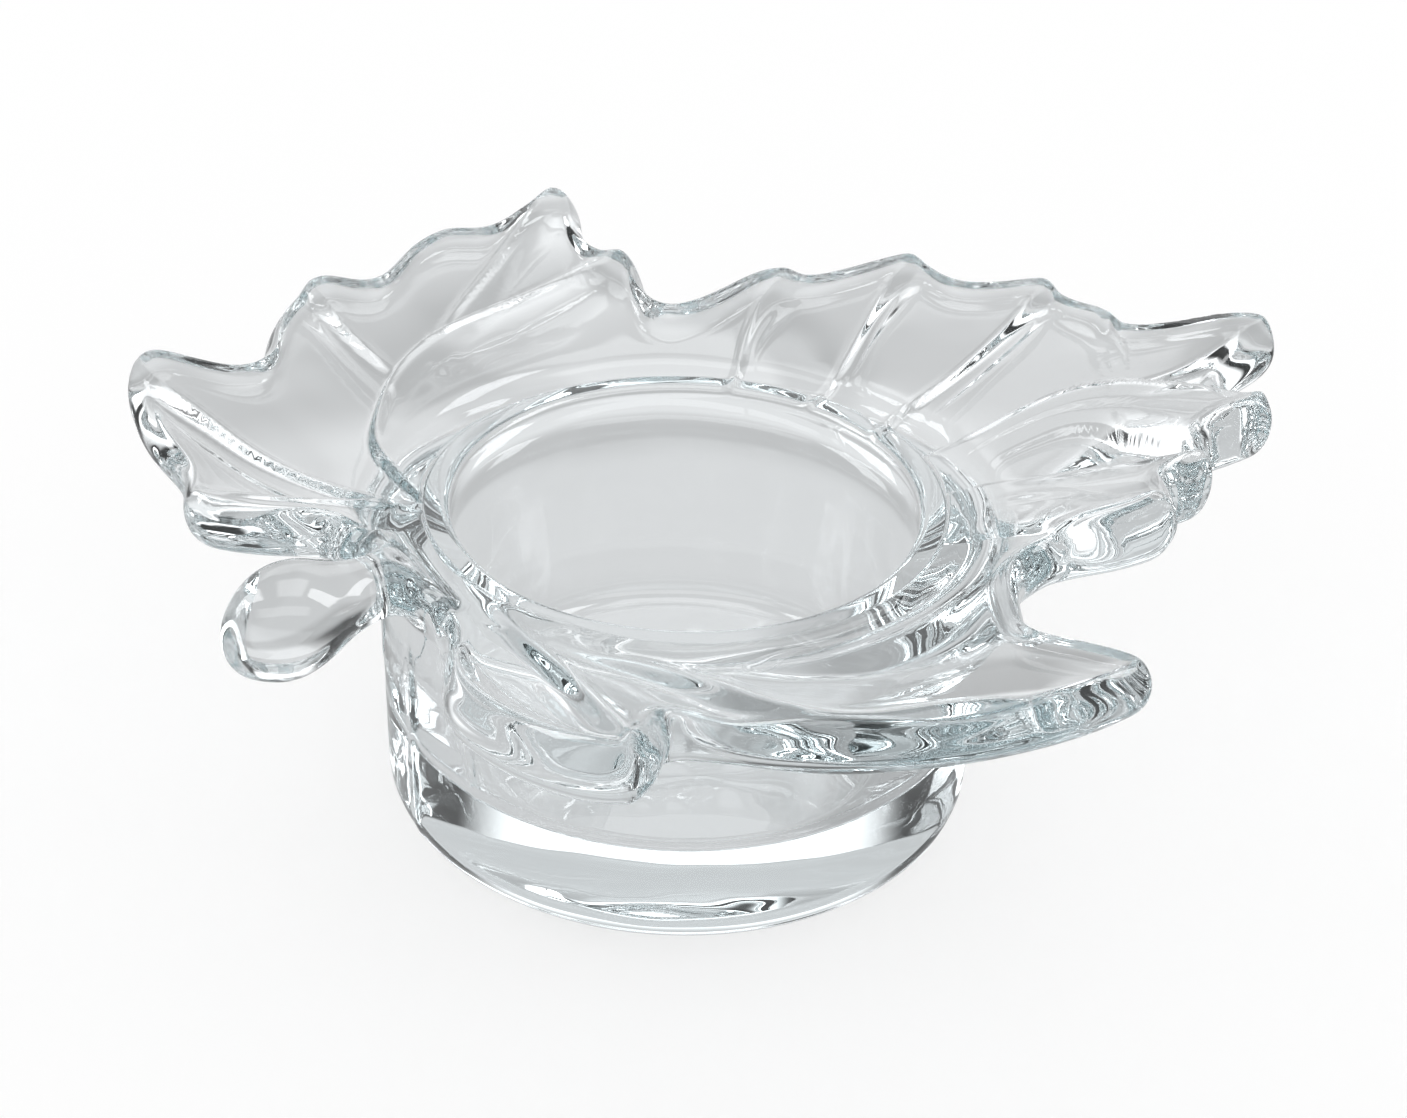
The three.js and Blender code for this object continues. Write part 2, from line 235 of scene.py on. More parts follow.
@dataclass
class Stem:
    """Sizes of the stem in millimetres: a club whose round section is carried along a drooping axis."""

    length: float = 25.2
    root_radius: float = 3.8
    end_radius: float = 7.2
    neck: float = 5.0
    swell_end: float = 16.0
    root_height: float = 42.9
    droop: float = 0.14
    blend_start: float = -3.5
    blend_end: float = 4.0
    calm_inner: float = 9.0
    calm_outer: float = 18.0
    turn_inner: float = 0.0
    turn_outer: float = 14.0
    turn_lead: float = 1.0
    turn_narrow: float = 0.3
    crowding: float = 0.8
    clear_inner: float = 8.5
    clear_outer: float = 11.0
    outline_places: tuple = (3.2, 8.0, 13.0, 18.0, 22.0)
    outline_widths: tuple = (1.25, 1.0, 1.0, 1.0, 0.72)
    lip_spread: tuple = (9.5, 7.5, 6.0, 4.5, 2.5, 0.0)

    def radius_at(self, along: np.ndarray) -> np.ndarray:
        """Radius at a distance past the cup wall, swelling smoothly from root to end."""
        swell = smooth(along, self.neck, self.swell_end)
        return self.root_radius + (self.end_radius - self.root_radius) * swell

    def axis_at(self, along: np.ndarray) -> np.ndarray:
        """Height of the stem's axis at a distance past the cup wall."""
        return self.root_height - self.droop * along

    def outline(self, wall: float) -> list:
        """Lists the stem's outline in plan: bearings, overhangs and bearings at the lip.

        Args:
            wall: Outer radius of the cup.

        Returns:
            Outline points counter-clockwise round the stem.
        """
        along = np.array(self.outline_places)
        side = np.array(self.outline_widths) * self.radius_at(along)
        reach = np.append(wall + along, wall + self.length)
        side = np.append(side, 0.0)
        root = 180.0 - np.array(self.lip_spread)
        bearing = 180.0 - np.degrees(np.arctan2(side, reach))
        overhang = np.hypot(side, reach) - wall
        points = list(zip(bearing, overhang, root))
        mirrored = [(360.0 - b, o, 360.0 - r) for b, o, r in reversed(points[:-1])]
        return points + mirrored

    def turning_points(self, start: np.ndarray, end: np.ndarray, wall: float) -> np.ndarray:
        """Works out where spokes bend: halfway, or near the axis for those that end on the stem.

        Args:
            start: Spoke starts, shape (spokes, 2).
            end: Spoke ends, shape (spokes, 2).
            wall: Outer radius of the cup.

        Returns:
            Turning points of shape (spokes, 2).
        """
        along = -end[:, 0] - wall
        inside = np.abs(end[:, 1]) < self.clear_outer
        share = np.where(inside, smooth(along, self.turn_inner, self.turn_outer), 0.0)[:, None]
        axis = np.stack([end[:, 0] + self.turn_lead, end[:, 1] * self.turn_narrow], axis=1)
        middle = (start + end) / 2.0
        return middle + (axis - middle) * share

    def calm(self, x: np.ndarray, y: np.ndarray, wall: float) -> np.ndarray:
        """Share of the blade's relief left at plan points: 0 round the stem's root, 1 further out."""
        return smooth(np.hypot(x + wall, y), self.calm_inner, self.calm_outer)

    def weight(self, x: np.ndarray, y: np.ndarray, wall: float) -> np.ndarray:
        """Share of the stem in the blade at plan points: 1 on it, fading out at its root and sides.

        Args:
            x: Plan coordinates towards the tip.
            y: Plan coordinates towards the back side lobe.
            wall: Outer radius of the cup.

        Returns:
            Shares from 0 to 1.
        """
        along = -x - wall
        beside = 1.0 - smooth(np.abs(y), self.clear_inner, self.clear_outer)
        return smooth(along, self.blend_start, self.blend_end) * beside


@dataclass
class Leaf:
    """Sizes of the blade in millimetres, its outline and its veins."""

    thickness: float = 6.5
    thinning: float = 1.0
    edge_rounding: float = 2.6
    outline_softening: float = 1.3
    bead_height: float = 0.5
    bead_inset: float = 1.8
    bead_width: float = 1.1
    under_fillet: float = 5.0
    lift_mean: float = 6.6
    lift_tip: float = 3.5
    lift_sides: float = 5.1
    lift_run: float = 20.0
    merging: float = 6.0
    under_relief: float = 0.35
    route_steps: int = 8
    rim_span: tuple = (0.75, 1.0)
    step_span: tuple = (0.5, 1.0)
    droop_span: tuple = (0.2, 0.5)
    cord_lead: float = 0.2
    cord_end: tuple = (0.7, 0.92)

    tip_tooth: tuple = (
        (-7.5, 40.4, -9), (-4.2, 50), (-2.4, 53.4), (-0.4, 55, -7), (1.5, 54.2), (3.6, 49.8),
        (5.2, 43.4, -3.5))
    back_teeth: tuple = (
        (7.5, 37.8), (10.4, 38.6, 0), (14.1, 37.2), (16.7, 37.8, 4), (18.6, 38, 8), (22.4, 32.9), (25.7, 30),
        (28.2, 30, 24), (30.6, 31.2), (33.2, 31, 28.5), (38.6, 24.1), (43.8, 19.3, 44), (47, 19, 49),
        (50.4, 17.4, 52), (58.5, 10.6), (63.5, 8.6, 63))
    back_side_lobe: tuple = (
        (66.2, 9.2), (67.4, 13), (68.2, 17, 71), (70.4, 19.2), (73.4, 20.4, 77.5), (74.4, 25),
        (73.8, 30, 84), (74.4, 34.6), (76.4, 36.2, 87), (78.8, 35), (82.2, 31.8), (86.6, 29.1, 90),
        (90.5, 31.1), (95.6, 30), (104.7, 25.8, 104), (106.9, 28.8), (108.5, 30.8), (110.8, 31, 112),
        (115.5, 29.9), (120.2, 28), (125, 25.6, 134))
    back_basal_lobe: tuple = (
        (127, 27.4), (127.8, 32.4), (128.4, 38), (129.8, 40.2, 148), (132.4, 40.4), (137, 37),
        (141.5, 33, 153), (148.5, 26.2), (152.7, 25.6, 158), (156, 23.8), (158.6, 16.8), (161.5, 6.4, 164))
    front_sinus: tuple = ((197, 3.5, 196),)
    front_basal_lobe: tuple = (
        (210, 15.5, 208), (222, 23), (231, 27.5), (236, 28, 232), (238.5, 24), (239, 19, 237))
    front_side_lobe: tuple = (
        (242.5, 20.5, 242), (250, 25), (258, 29.4, 250), (267, 33.4), (276, 35.5), (283, 36.4, 258),
        (286, 36.2, 262), (287, 33), (286.6, 26.5, 267), (285.8, 19.5, 274), (291.5, 13.4, 288),
        (304, 8.2, 304))
    front_teeth: tuple = (
        (312.5, 11), (316, 17), (318.3, 20.5, 320), (321.2, 23.6), (324, 24, 325), (327.3, 22.6),
        (329, 25.4), (331.3, 28.8, 332), (334.6, 29.4), (337.8, 28.8), (340.6, 32.6, 338),
        (342.4, 38.4), (344, 41.8), (346.4, 41.6, 345), (349.6, 38.8, 349))

    veins: tuple = (
        Vein(((-8, -6), (-7, 3), (-5, 11), (-4.5, 19), (-6.5, 25), (-10, 30), (-14.5, 37), (-16, 44)),
             SteepSide.LEFT, PanelForm.FULL, height=3.6, panel=16.0, root_share=0.05, rim_share=0.7,
             crest=1.0),
        Vein(((-5.5, 26), (-6, 32), (-5, 38), (-3.5, 44), (-1.5, 50), (-0.5, 55)),
             SteepSide.RIGHT, height=2.6, root_share=0.2, step=3.0, crest=1.0),
        Vein(((-6, 26), (2, 31), (8, 35), (9.5, 40)), SteepSide.RIGHT, height=1.0, panel=9.0),
        Vein(((-27, 0), (-29, 8), (-29, 18), (-28, 31)),
             SteepSide.LEFT, PanelForm.FULL, height=3.4, panel=8.0, step=2.4, root_share=0.3, rim_share=1.0,
             crest=1.2, cord_height=0.2, cord_width=1.0),
        Vein(((-33, 0), (-35, 8), (-38.5, 16), (-39.5, 26)),
             SteepSide.LEFT, PanelForm.FULL, height=3.2, panel=8.0, step=2.4, root_share=0.2, rim_share=1.0,
             crest=1.2, cord_height=0.2, cord_width=1.0),
        Vein(((6, -9), (9, -3), (10.5, 8), (14, 23), (17.5, 36), (18.6, 40)),
             SteepSide.RIGHT, height=1.5, cord_start=0.0),
        Vein(((29, -9), (27.5, -4), (28.5, 2), (31, 14), (32.5, 27), (33, 32)),
             SteepSide.RIGHT, height=1.5, cord_start=0.0),
        Vein(((50, -8), (49, -4), (49, 2), (48, 9), (46.5, 15), (46, 20)),
             SteepSide.RIGHT, height=1.2, cord_start=0.0),
        Vein(((154, -5), (145, -1), (137, 3), (125, 6), (116, 8), (107, 9), (97, 9), (86, 10), (75, 14),
              (69, 18)), SteepSide.LEFT, height=1.8, root_share=0.5),
        Vein(((107, 9), (98, 13), (90, 18), (83, 25), (77, 33), (76, 37)), SteepSide.LEFT, height=1.5),
        Vein(((118, 8), (117, 12), (115, 19), (112, 27), (110, 32)), SteepSide.LEFT, height=1.5),
        Vein(((158, -4), (156, -2), (151, 7), (145, 17), (139, 26), (134, 36), (131.5, 41)),
             SteepSide.LEFT, height=1.8, rim_share=0.8),
        Vein(((157, -3), (155.5, 0), (155, 11), (154, 21), (153.5, 26)), SteepSide.RIGHT, height=1.5),
        Vein(((-142, 2), (-134, 4), (-126, 6), (-115, 13), (-109, 20), (-103, 25), (-95, 28), (-85, 32),
              (-75, 37)), SteepSide.RIGHT, height=0.8, root_share=1.8, rim_share=1.0, step=4.0, rim_step=4.0,
             crest=2.0, cord_height=0.2, cord_width=1.2, droop=2.0),
        Vein(((-160, -4), (-150, 0), (-137, 8), (-131, 15), (-126, 23), (-122, 30)),
             SteepSide.RIGHT, height=3.2, rim_share=0.8, step=2.4, crest=1.2, cord_height=0.25,
             cord_width=0.9),
        Vein(((-156, 9), (-150, 12.5), (-139, 19.5), (-130, 24.5), (-121, 29)),
             SteepSide.LEFT, PanelForm.FULL, height=2.0, root_share=0.8, panel=3.5, step=3.5, rim_step=3.5,
             crest=0.3, cord_height=0.0),
    )

    def outline_points(self, stem: Stem, wall: float) -> np.ndarray:
        """Lists the outline's points in order, counter-clockwise from the tip, with the stem let in.

        A point that gives no bearing at the lip gets one between its neighbours'.

        Args:
            stem: The stem, whose outline joins the blade's.
            wall: Outer radius of the cup.

        Returns:
            Rows of bearing, overhang and bearing at the lip.
        """
        rows = [*self.tip_tooth, *self.back_teeth, *self.back_side_lobe, *self.back_basal_lobe,
                *stem.outline(wall), *self.front_sinus, *self.front_basal_lobe, *self.front_side_lobe,
                *self.front_teeth]
        table = np.array([(*row, np.nan)[:3] for row in rows], dtype=float)
        known = np.flatnonzero(~np.isnan(table[:, 2]))
        table[:, 2] = np.interp(np.arange(len(table)), known, table[known, 2])
        return table

    def lift(self, x: np.ndarray, y: np.ndarray, start: float) -> np.ndarray:
        """Rise of the blade at plan points.

        The rise is (mean + tip cos b - sides cos 2b) times 1 - exp(-run / lift run), with b the bearing
        and run the distance outside the start radius.

        Args:
            x: Plan coordinates towards the tip.
            y: Plan coordinates towards the back side lobe.
            start: Radius at which the rise begins.

        Returns:
            Heights in millimetres.
        """
        bearing = np.arctan2(y, x)
        height = self.lift_mean + self.lift_tip * np.cos(bearing) - self.lift_sides * np.cos(2.0 * bearing)
        run = np.maximum(np.hypot(x, y) - start, 0.0)
        return height * (1.0 - np.exp(-run / self.lift_run))

    def relief(self, x: np.ndarray, y: np.ndarray, wall: float) -> tuple:
        """Takes a soft upper envelope of the veins' pleats, and the envelope of their cords.

        The soft envelope of heights h is (sum of h^m)^(1/m), with m the merging. A pleat falls off by its
        form over its panel on one side, rounded at the crest, and as a smooth step on the other. It grows
        evenly from the lip and eases off at the rim. Where it droops, the blade sinks on the steep side as
        far as twice the droop's reach. A cord is a bell curve across the crest.

        Args:
            x: Plan coordinates towards the tip.
            y: Plan coordinates towards the back side lobe.
            wall: Outer radius of the cup.

        Returns:
            Heights of the pleats and of the cords in millimetres.
        """
        spots = np.stack([x.ravel(), y.ravel()], axis=1)
        pleats = np.zeros(len(spots))
        sunk = np.zeros(len(spots))
        cords = np.zeros(len(spots))
        for vein in self.veins:
            route = open_curve(polar_points(np.array(vein.route, dtype=float), wall), self.route_steps)
            side, progress = beside_path(spots, route)
            away = side * vein.steep.value
            grow = vein.root_share + (1.0 - vein.root_share) * progress
            grow = grow * (1.0 - (1.0 - vein.rim_share) * smooth(progress, *self.rim_span))
            width = vein.step + (vein.rim_step - vein.step) * smooth(progress, *self.step_span)
            rounded = np.hypot(away, vein.crest) - vein.crest
            bend, close = vein.form.value
            ramp = np.clip(1.0 - (rounded / vein.panel) ** bend, 0.0, 1.0) ** close
            crest = np.where(away > 0.0, 1.0 - smooth(away / width, 0.0, 1.0), ramp)
            pleats = pleats + (vein.height * grow * crest) ** self.merging
            if vein.droop:
                reach = vein.droop_reach
                near = smooth(away, 0.0, reach) - smooth(away, reach, 2.0 * reach)
                sunk = sunk + vein.droop * near * smooth(progress, *self.droop_span)
            shown = smooth(progress, vein.cord_start - self.cord_lead, vein.cord_start)
            shown = shown * (1.0 - smooth(progress, *self.cord_end))
            cords = np.maximum(cords, vein.cord_height * shown * np.exp(-((away / vein.cord_width) ** 2)))
        return (pleats ** (1.0 / self.merging) - sunk).reshape(x.shape), cords.reshape(x.shape)


class NodeSketch:
    """A shorthand for drawing a node graph."""

    def __init__(self, tree: bpy.types.NodeTree) -> None:
        """Clears a node tree and keeps it for drawing.

        Args:
            tree: The node tree of a material or of the surroundings.
        """
        self.nodes = tree.nodes
        self.links = tree.links
        self.nodes.clear()

    def feed(self, socket: bpy.types.NodeSocket, value: object) -> None:
        """Links a socket to another one, or sets its value.

        Args:
            socket: The input to feed.
            value: An output to link, or a plain value.
        """
        if isinstance(value, bpy.types.NodeSocket):
            self.links.new(value, socket)
        else:
            socket.default_value = value

    def add(self, kind: str, inputs: dict) -> bpy.types.Node:
        """Adds a node and feeds its inputs.

        Args:
            kind: Type name of the node.
            inputs: Sockets or values by the name or number of the input.

        Returns:
            The node.
        """
        node = self.nodes.new(kind)
        for name, value in inputs.items():
            self.feed(node.inputs[name], value)
        return node

    def number(self, operation: str, first: object, second: object = 0.0) -> bpy.types.NodeSocket:
        """Adds a Math node.

        Args:
            operation: Name of the operation.
            first: A socket or a number.
            second: A socket or a number.

        Returns:
            The node's output.
        """
        node = self.add("ShaderNodeMath", {0: first, 1: second})
        node.operation = operation
        return node.outputs[0]

    def along(self, vector: bpy.types.NodeSocket, axis: Vector) -> bpy.types.NodeSocket:
        """Adds the dot product of a vector and a fixed axis.

        Args:
            vector: The vector's socket.
            axis: The axis.

        Returns:
            The product's socket.
        """
        node = self.add("ShaderNodeVectorMath", {0: vector, 1: axis})
        node.operation = "DOT_PRODUCT"
        return node.outputs["Value"]

    def length(self, vector: bpy.types.NodeSocket) -> bpy.types.NodeSocket:
        """Adds the length of a vector.

        Args:
            vector: The vector's socket.

        Returns:
            The length's socket.
        """
        node = self.add("ShaderNodeVectorMath", {0: vector})
        node.operation = "LENGTH"
        return node.outputs["Value"]

    def fade(self, value: bpy.types.NodeSocket, start: float, end: float) -> bpy.types.NodeSocket:
        """Adds a smooth step, 3t^2 - 2t^3, that is 0 at start and 1 at end.

        Args:
            value: The number's socket.
            start: Where the step begins.
            end: Where the step is complete.

        Returns:
            The step's socket.
        """
        node = self.add("ShaderNodeMapRange", {"Value": value, "From Min": start, "From Max": end})
        node.interpolation_type = "SMOOTHSTEP"
        return node.outputs["Result"]

    def blend(self, level: object, other: object, share: bpy.types.NodeSocket) -> bpy.types.NodeSocket:
        """Mixes a level towards another one by a share."""
        change = self.number("SUBTRACT", other, level)
        return self.number("ADD", level, self.number("MULTIPLY", change, share))


@dataclass(frozen=True)
class GlassFinish:
    """Clear fire-polished glass with a faint cool tint and slight ripples."""

    name: str = "clear_glass"
    colour: tuple = (0.985, 0.992, 0.995, 1.0)
    ior: float = 1.55
    roughness: float = 0.0
    tint: tuple = (0.84, 0.89, 0.90, 1.0)
    tint_density: float = 10.0
    ripple_scale: float = 60.0
    ripple_detail: float = 1.0
    ripple_strength: float = 0.02
    ripple_distance: float = 0.01

    def material(self) -> bpy.types.Material:
        """Makes the glass as a node material, whose ripples come from noise on Object coordinates.

        Returns:
            The material.
        """
        glass = bpy.data.materials.new(self.name)
        glass.use_nodes = True
        sketch = NodeSketch(glass.node_tree)
        place = sketch.add("ShaderNodeTexCoord", {})
        ripple = sketch.add("ShaderNodeTexNoise", {
            "Vector": place.outputs["Object"], "Scale": self.ripple_scale, "Detail": self.ripple_detail})
        bump = sketch.add("ShaderNodeBump", {
            "Strength": self.ripple_strength, "Distance": self.ripple_distance,
            "Height": ripple.outputs["Fac"]})
        shader = sketch.add("ShaderNodeBsdfPrincipled", {
            "Base Color": self.colour, "Roughness": self.roughness, "IOR": self.ior,
            "Transmission Weight": 1.0, "Normal": bump.outputs["Normal"]})
        absorb = sketch.add("ShaderNodeVolumeAbsorption", {"Color": self.tint, "Density": self.tint_density})
        sketch.add("ShaderNodeOutputMaterial", {
            "Surface": shader.outputs["BSDF"], "Volume": absorb.outputs["Volume"]})
        return glass


def smooth(value: np.ndarray, start: float, end: float) -> np.ndarray:
    """Rises smoothly from 0 at start to 1 at end, as 3t^2 - 2t^3."""
    share = np.clip((value - start) / (end - start), 0.0, 1.0)
    return share * share * (3.0 - 2.0 * share)


def quarter(steps: int) -> np.ndarray:
    """Angles of a quarter turn in even steps, in radians."""
    return np.linspace(0.0, np.pi / 2, steps + 1)


def compass(angle: np.ndarray) -> np.ndarray:
    """Unit plan vectors at angles in radians, shape (n, 2)."""
    return np.stack([np.cos(angle), np.sin(angle)], axis=1)


def eased(bearings: np.ndarray, share: np.ndarray) -> np.ndarray:
    """Moves each ring's bearings towards even ones by that ring's share.

    Args:
        bearings: Rising angles round the axis in radians, one for each spoke.
        share: From 0 for the given bearings to 1 for even ones, one for each ring.

    Returns:
        Angles of shape (spokes, rings).
    """
    even = np.arange(len(bearings)) * (2.0 * np.pi / len(bearings))
    shift = even + (bearings - even).mean() - bearings
    return bearings[:, None] + shift[:, None] * share[None, :]


def along_spokes(spokes: tuple, shares: np.ndarray) -> np.ndarray:
    """Follows bent spokes in plan: (1 - t)^2 start + 2t(1 - t) turn + t^2 end.

    Args:
        spokes: Starts, turning points and ends, each of shape (spokes, 2).
        shares: Places t along the spokes, shape (spokes, steps).

    Returns:
        Plan points of shape (spokes, steps, 2).
    """
    start, bend, end = (part[:, None, :] for part in spokes)
    t = shares[..., None]
    return (1.0 - t) ** 2 * start + 2.0 * t * (1.0 - t) * bend + t**2 * end


def crossing(spokes: tuple, radius: float) -> np.ndarray:
    """Finds by halving the place on each spoke at a radius from the cup's axis.

    Args:
        spokes: Starts, turning points and ends of the spokes.
        radius: The radius to meet.

    Returns:
        Places from 0 to 1, shape (spokes, 1).
    """
    low, high = np.zeros((len(spokes[0]), 1)), np.ones((len(spokes[0]), 1))
    for _ in range(HALVINGS):
        middle = (low + high) / 2.0
        within = np.linalg.norm(along_spokes(spokes, middle), axis=2) < radius
        low, high = np.where(within, middle, low), np.where(within, high, middle)
    return low


def revolved(radius: np.ndarray, height: np.ndarray, bearings: np.ndarray) -> np.ndarray:
    """Carries a profile of radii and heights round the cup's axis.

    Args:
        radius: Radius of each profile point.
        height: Height of each profile point.
        bearings: Angles round the axis in radians, for each spoke, or for each spoke and profile point.

    Returns:
        Points of shape (spokes, profile points, 3).
    """
    turned = np.broadcast_to(bearings.reshape(len(bearings), -1), (len(bearings), len(radius)))
    rise = np.broadcast_to(height, turned.shape)
    return np.stack([radius * np.cos(turned), radius * np.sin(turned), rise], axis=2)


def polar_points(rows: np.ndarray, wall: float) -> np.ndarray:
    """Turns rows of bearing in degrees and overhang past the wall into plan points."""
    return (wall + rows[:, 1])[:, None] * compass(np.radians(rows[:, 0]))


def spline(before: np.ndarray, start: np.ndarray, end: np.ndarray, after: np.ndarray,
           steps: int) -> np.ndarray:
    """Samples centripetal Catmull-Rom spans between start and end points.

    Args:
        before: Points ahead of each span's start.
        start: Start points of the spans.
        end: End points of the spans.
        after: Points past each span's end.
        steps: Samples in each span, its end left out.

    Returns:
        Points of shape (spans times steps, 2).
    """
    gap = [np.sqrt(np.linalg.norm(b - a, axis=1, keepdims=True)) for a, b in
           ((before, start), (start, end), (end, after))]
    slope = (end - start) / gap[1]
    first = gap[1] * ((start - before) / gap[0] - (end - before) / (gap[0] + gap[1]) + slope)
    last = gap[1] * (slope - (after - start) / (gap[1] + gap[2]) + (after - end) / gap[2])
    t = (np.arange(steps) / steps)[None, :, None]
    start, end, first, last = (part[:, None, :] for part in (start, end, first, last))
    cubic = (2.0 * start - 2.0 * end + first + last) * t**3
    square = (-3.0 * start + 3.0 * end - 2.0 * first - last) * t**2
    return (cubic + square + first * t + start).reshape(-1, 2)


def closed_curve(points: np.ndarray, steps: int) -> np.ndarray:
    """Samples a closed smooth curve through points."""
    return spline(np.roll(points, 1, 0), points, np.roll(points, -1, 0), np.roll(points, -2, 0), steps)


def softened(outline: np.ndarray, reach: float) -> np.ndarray:
    """Rounds off a closed outline: each point becomes its neighbours' mean, weighted by a bell curve.

    Args:
        outline: Points of the closed outline, shape (n, 2).
        reach: Width of the bell curve along the outline.

    Returns:
        The rounded outline, shape (n, 2).
    """
    step = np.linalg.norm(np.roll(outline, -1, axis=0) - outline, axis=1)
    place = np.concatenate([[0.0], np.cumsum(step)[:-1]])
    apart = np.abs(place[:, None] - place[None, :])
    apart = np.minimum(apart, step.sum() - apart)
    weight = np.exp(-0.5 * (apart / reach) ** 2) * (step + np.roll(step, 1))[None, :]
    return (weight / weight.sum(1, keepdims=True)) @ outline


def open_curve(points: np.ndarray, steps: int) -> np.ndarray:
    """Samples an open smooth curve through points, its end spans led on in line.

    Args:
        points: Points on the curve, shape (n, 2).
        steps: Samples in each span.

    Returns:
        Points of the curve, its end included.
    """
    padded = np.concatenate([2 * points[:1] - points[1:2], points, 2 * points[-1:] - points[-2:-1]])
    body = spline(padded[:-3], padded[1:-2], padded[2:-1], padded[3:], steps)
    return np.concatenate([body, points[-1:]])


def beside_path(spots: np.ndarray, path: np.ndarray) -> tuple:
    """Measures plan points against a path.

    Args:
        spots: Points of shape (n, 2).
        path: Points of an open path, shape (m, 2).

    Returns:
        The distance to the path, positive on its left, and the share of its chord that is passed.
    """
    leg = np.diff(path, axis=0)
    offset = spots[:, None, :] - path[None, :-1, :]
    share = np.clip((offset * leg).sum(2) / (leg**2).sum(1), 0.0, 1.0)
    gap = np.linalg.norm(offset - share[..., None] * leg, axis=2)
    nearest = gap.argmin(1)
    rows = np.arange(len(spots))
    turn = leg[nearest, 0] * offset[rows, nearest, 1] - leg[nearest, 1] * offset[rows, nearest, 0]
    chord = path[-1] - path[0]
    passed = np.clip((spots - path[0]) @ chord / (chord @ chord), 0.0, 1.0)
    return np.where(turn >= 0.0, 1.0, -1.0) * gap[rows, nearest], passed


def gap_to_outline(spots: np.ndarray, outline: np.ndarray) -> np.ndarray:
    """Measures the distance from plan points to a closed outline, in strips to spare memory.

    Args:
        spots: Points of shape (n, 2).
        outline: Points of the closed outline, shape (m, 2).

    Returns:
        Distances of shape (n,).
    """
    leg = np.roll(outline, -1, axis=0) - outline
    square = (leg**2).sum(1)
    strips = []
    for strip in np.array_split(spots, STRIPS):
        offset = strip[:, None, :] - outline[None]
        share = np.clip((offset * leg).sum(2) / square, 0.0, 1.0)
        strips.append(np.linalg.norm(offset - share[..., None] * leg, axis=2).min(1))
    return np.concatenate(strips)


def even_places(weight: np.ndarray, steps: int) -> np.ndarray:
    """Places samples along rows of cells so that each step between them holds the same weight.

    The summed weight of a row is inverted by straight lines between its cells.

    Args:
        weight: Weights of the cells, shape (rows, cells).
        steps: Number of steps in a row.

    Returns:
        Places from 0 to 1, shape (rows, steps + 1).
    """
    total = np.cumsum(np.pad(weight, ((0, 0), (1, 0))), axis=1)
    total = total / total[:, -1:]
    wanted = np.broadcast_to(np.linspace(0.0, 1.0, steps + 1), (len(weight), steps + 1))
    cell = (total[:, None, 1:-1] < wanted[:, :, None]).sum(2)
    low = np.take_along_axis(total, cell, 1)
    high = np.take_along_axis(total, cell + 1, 1)
    return (cell + (wanted - low) / (high - low)) / weight.shape[1]


def rounding_arc(steps: np.ndarray, radius: float) -> np.ndarray:
    """Arc of a quarter round that each step of a row passes, from the row's start inwards.

    At a depth d the arc is radius times arccos(1 - d / radius), up to a quarter turn.

    Args:
        steps: Lengths of the steps, shape (rows, steps).
        radius: Radius of the quarter round.

    Returns:
        Arc lengths of shape (rows, steps).
    """
    depth = np.cumsum(np.pad(steps, ((0, 0), (1, 0))), axis=1)
    return radius * np.diff(np.arccos(1.0 - np.minimum(depth / radius, 1.0)), axis=1)


def blurred(rows: np.ndarray, reach: int) -> np.ndarray:
    """Takes the mean of each row and its neighbours round a closed set of rows."""
    return sum(np.roll(rows, shift, axis=0) for shift in range(-reach, reach + 1)) / (2 * reach + 1)


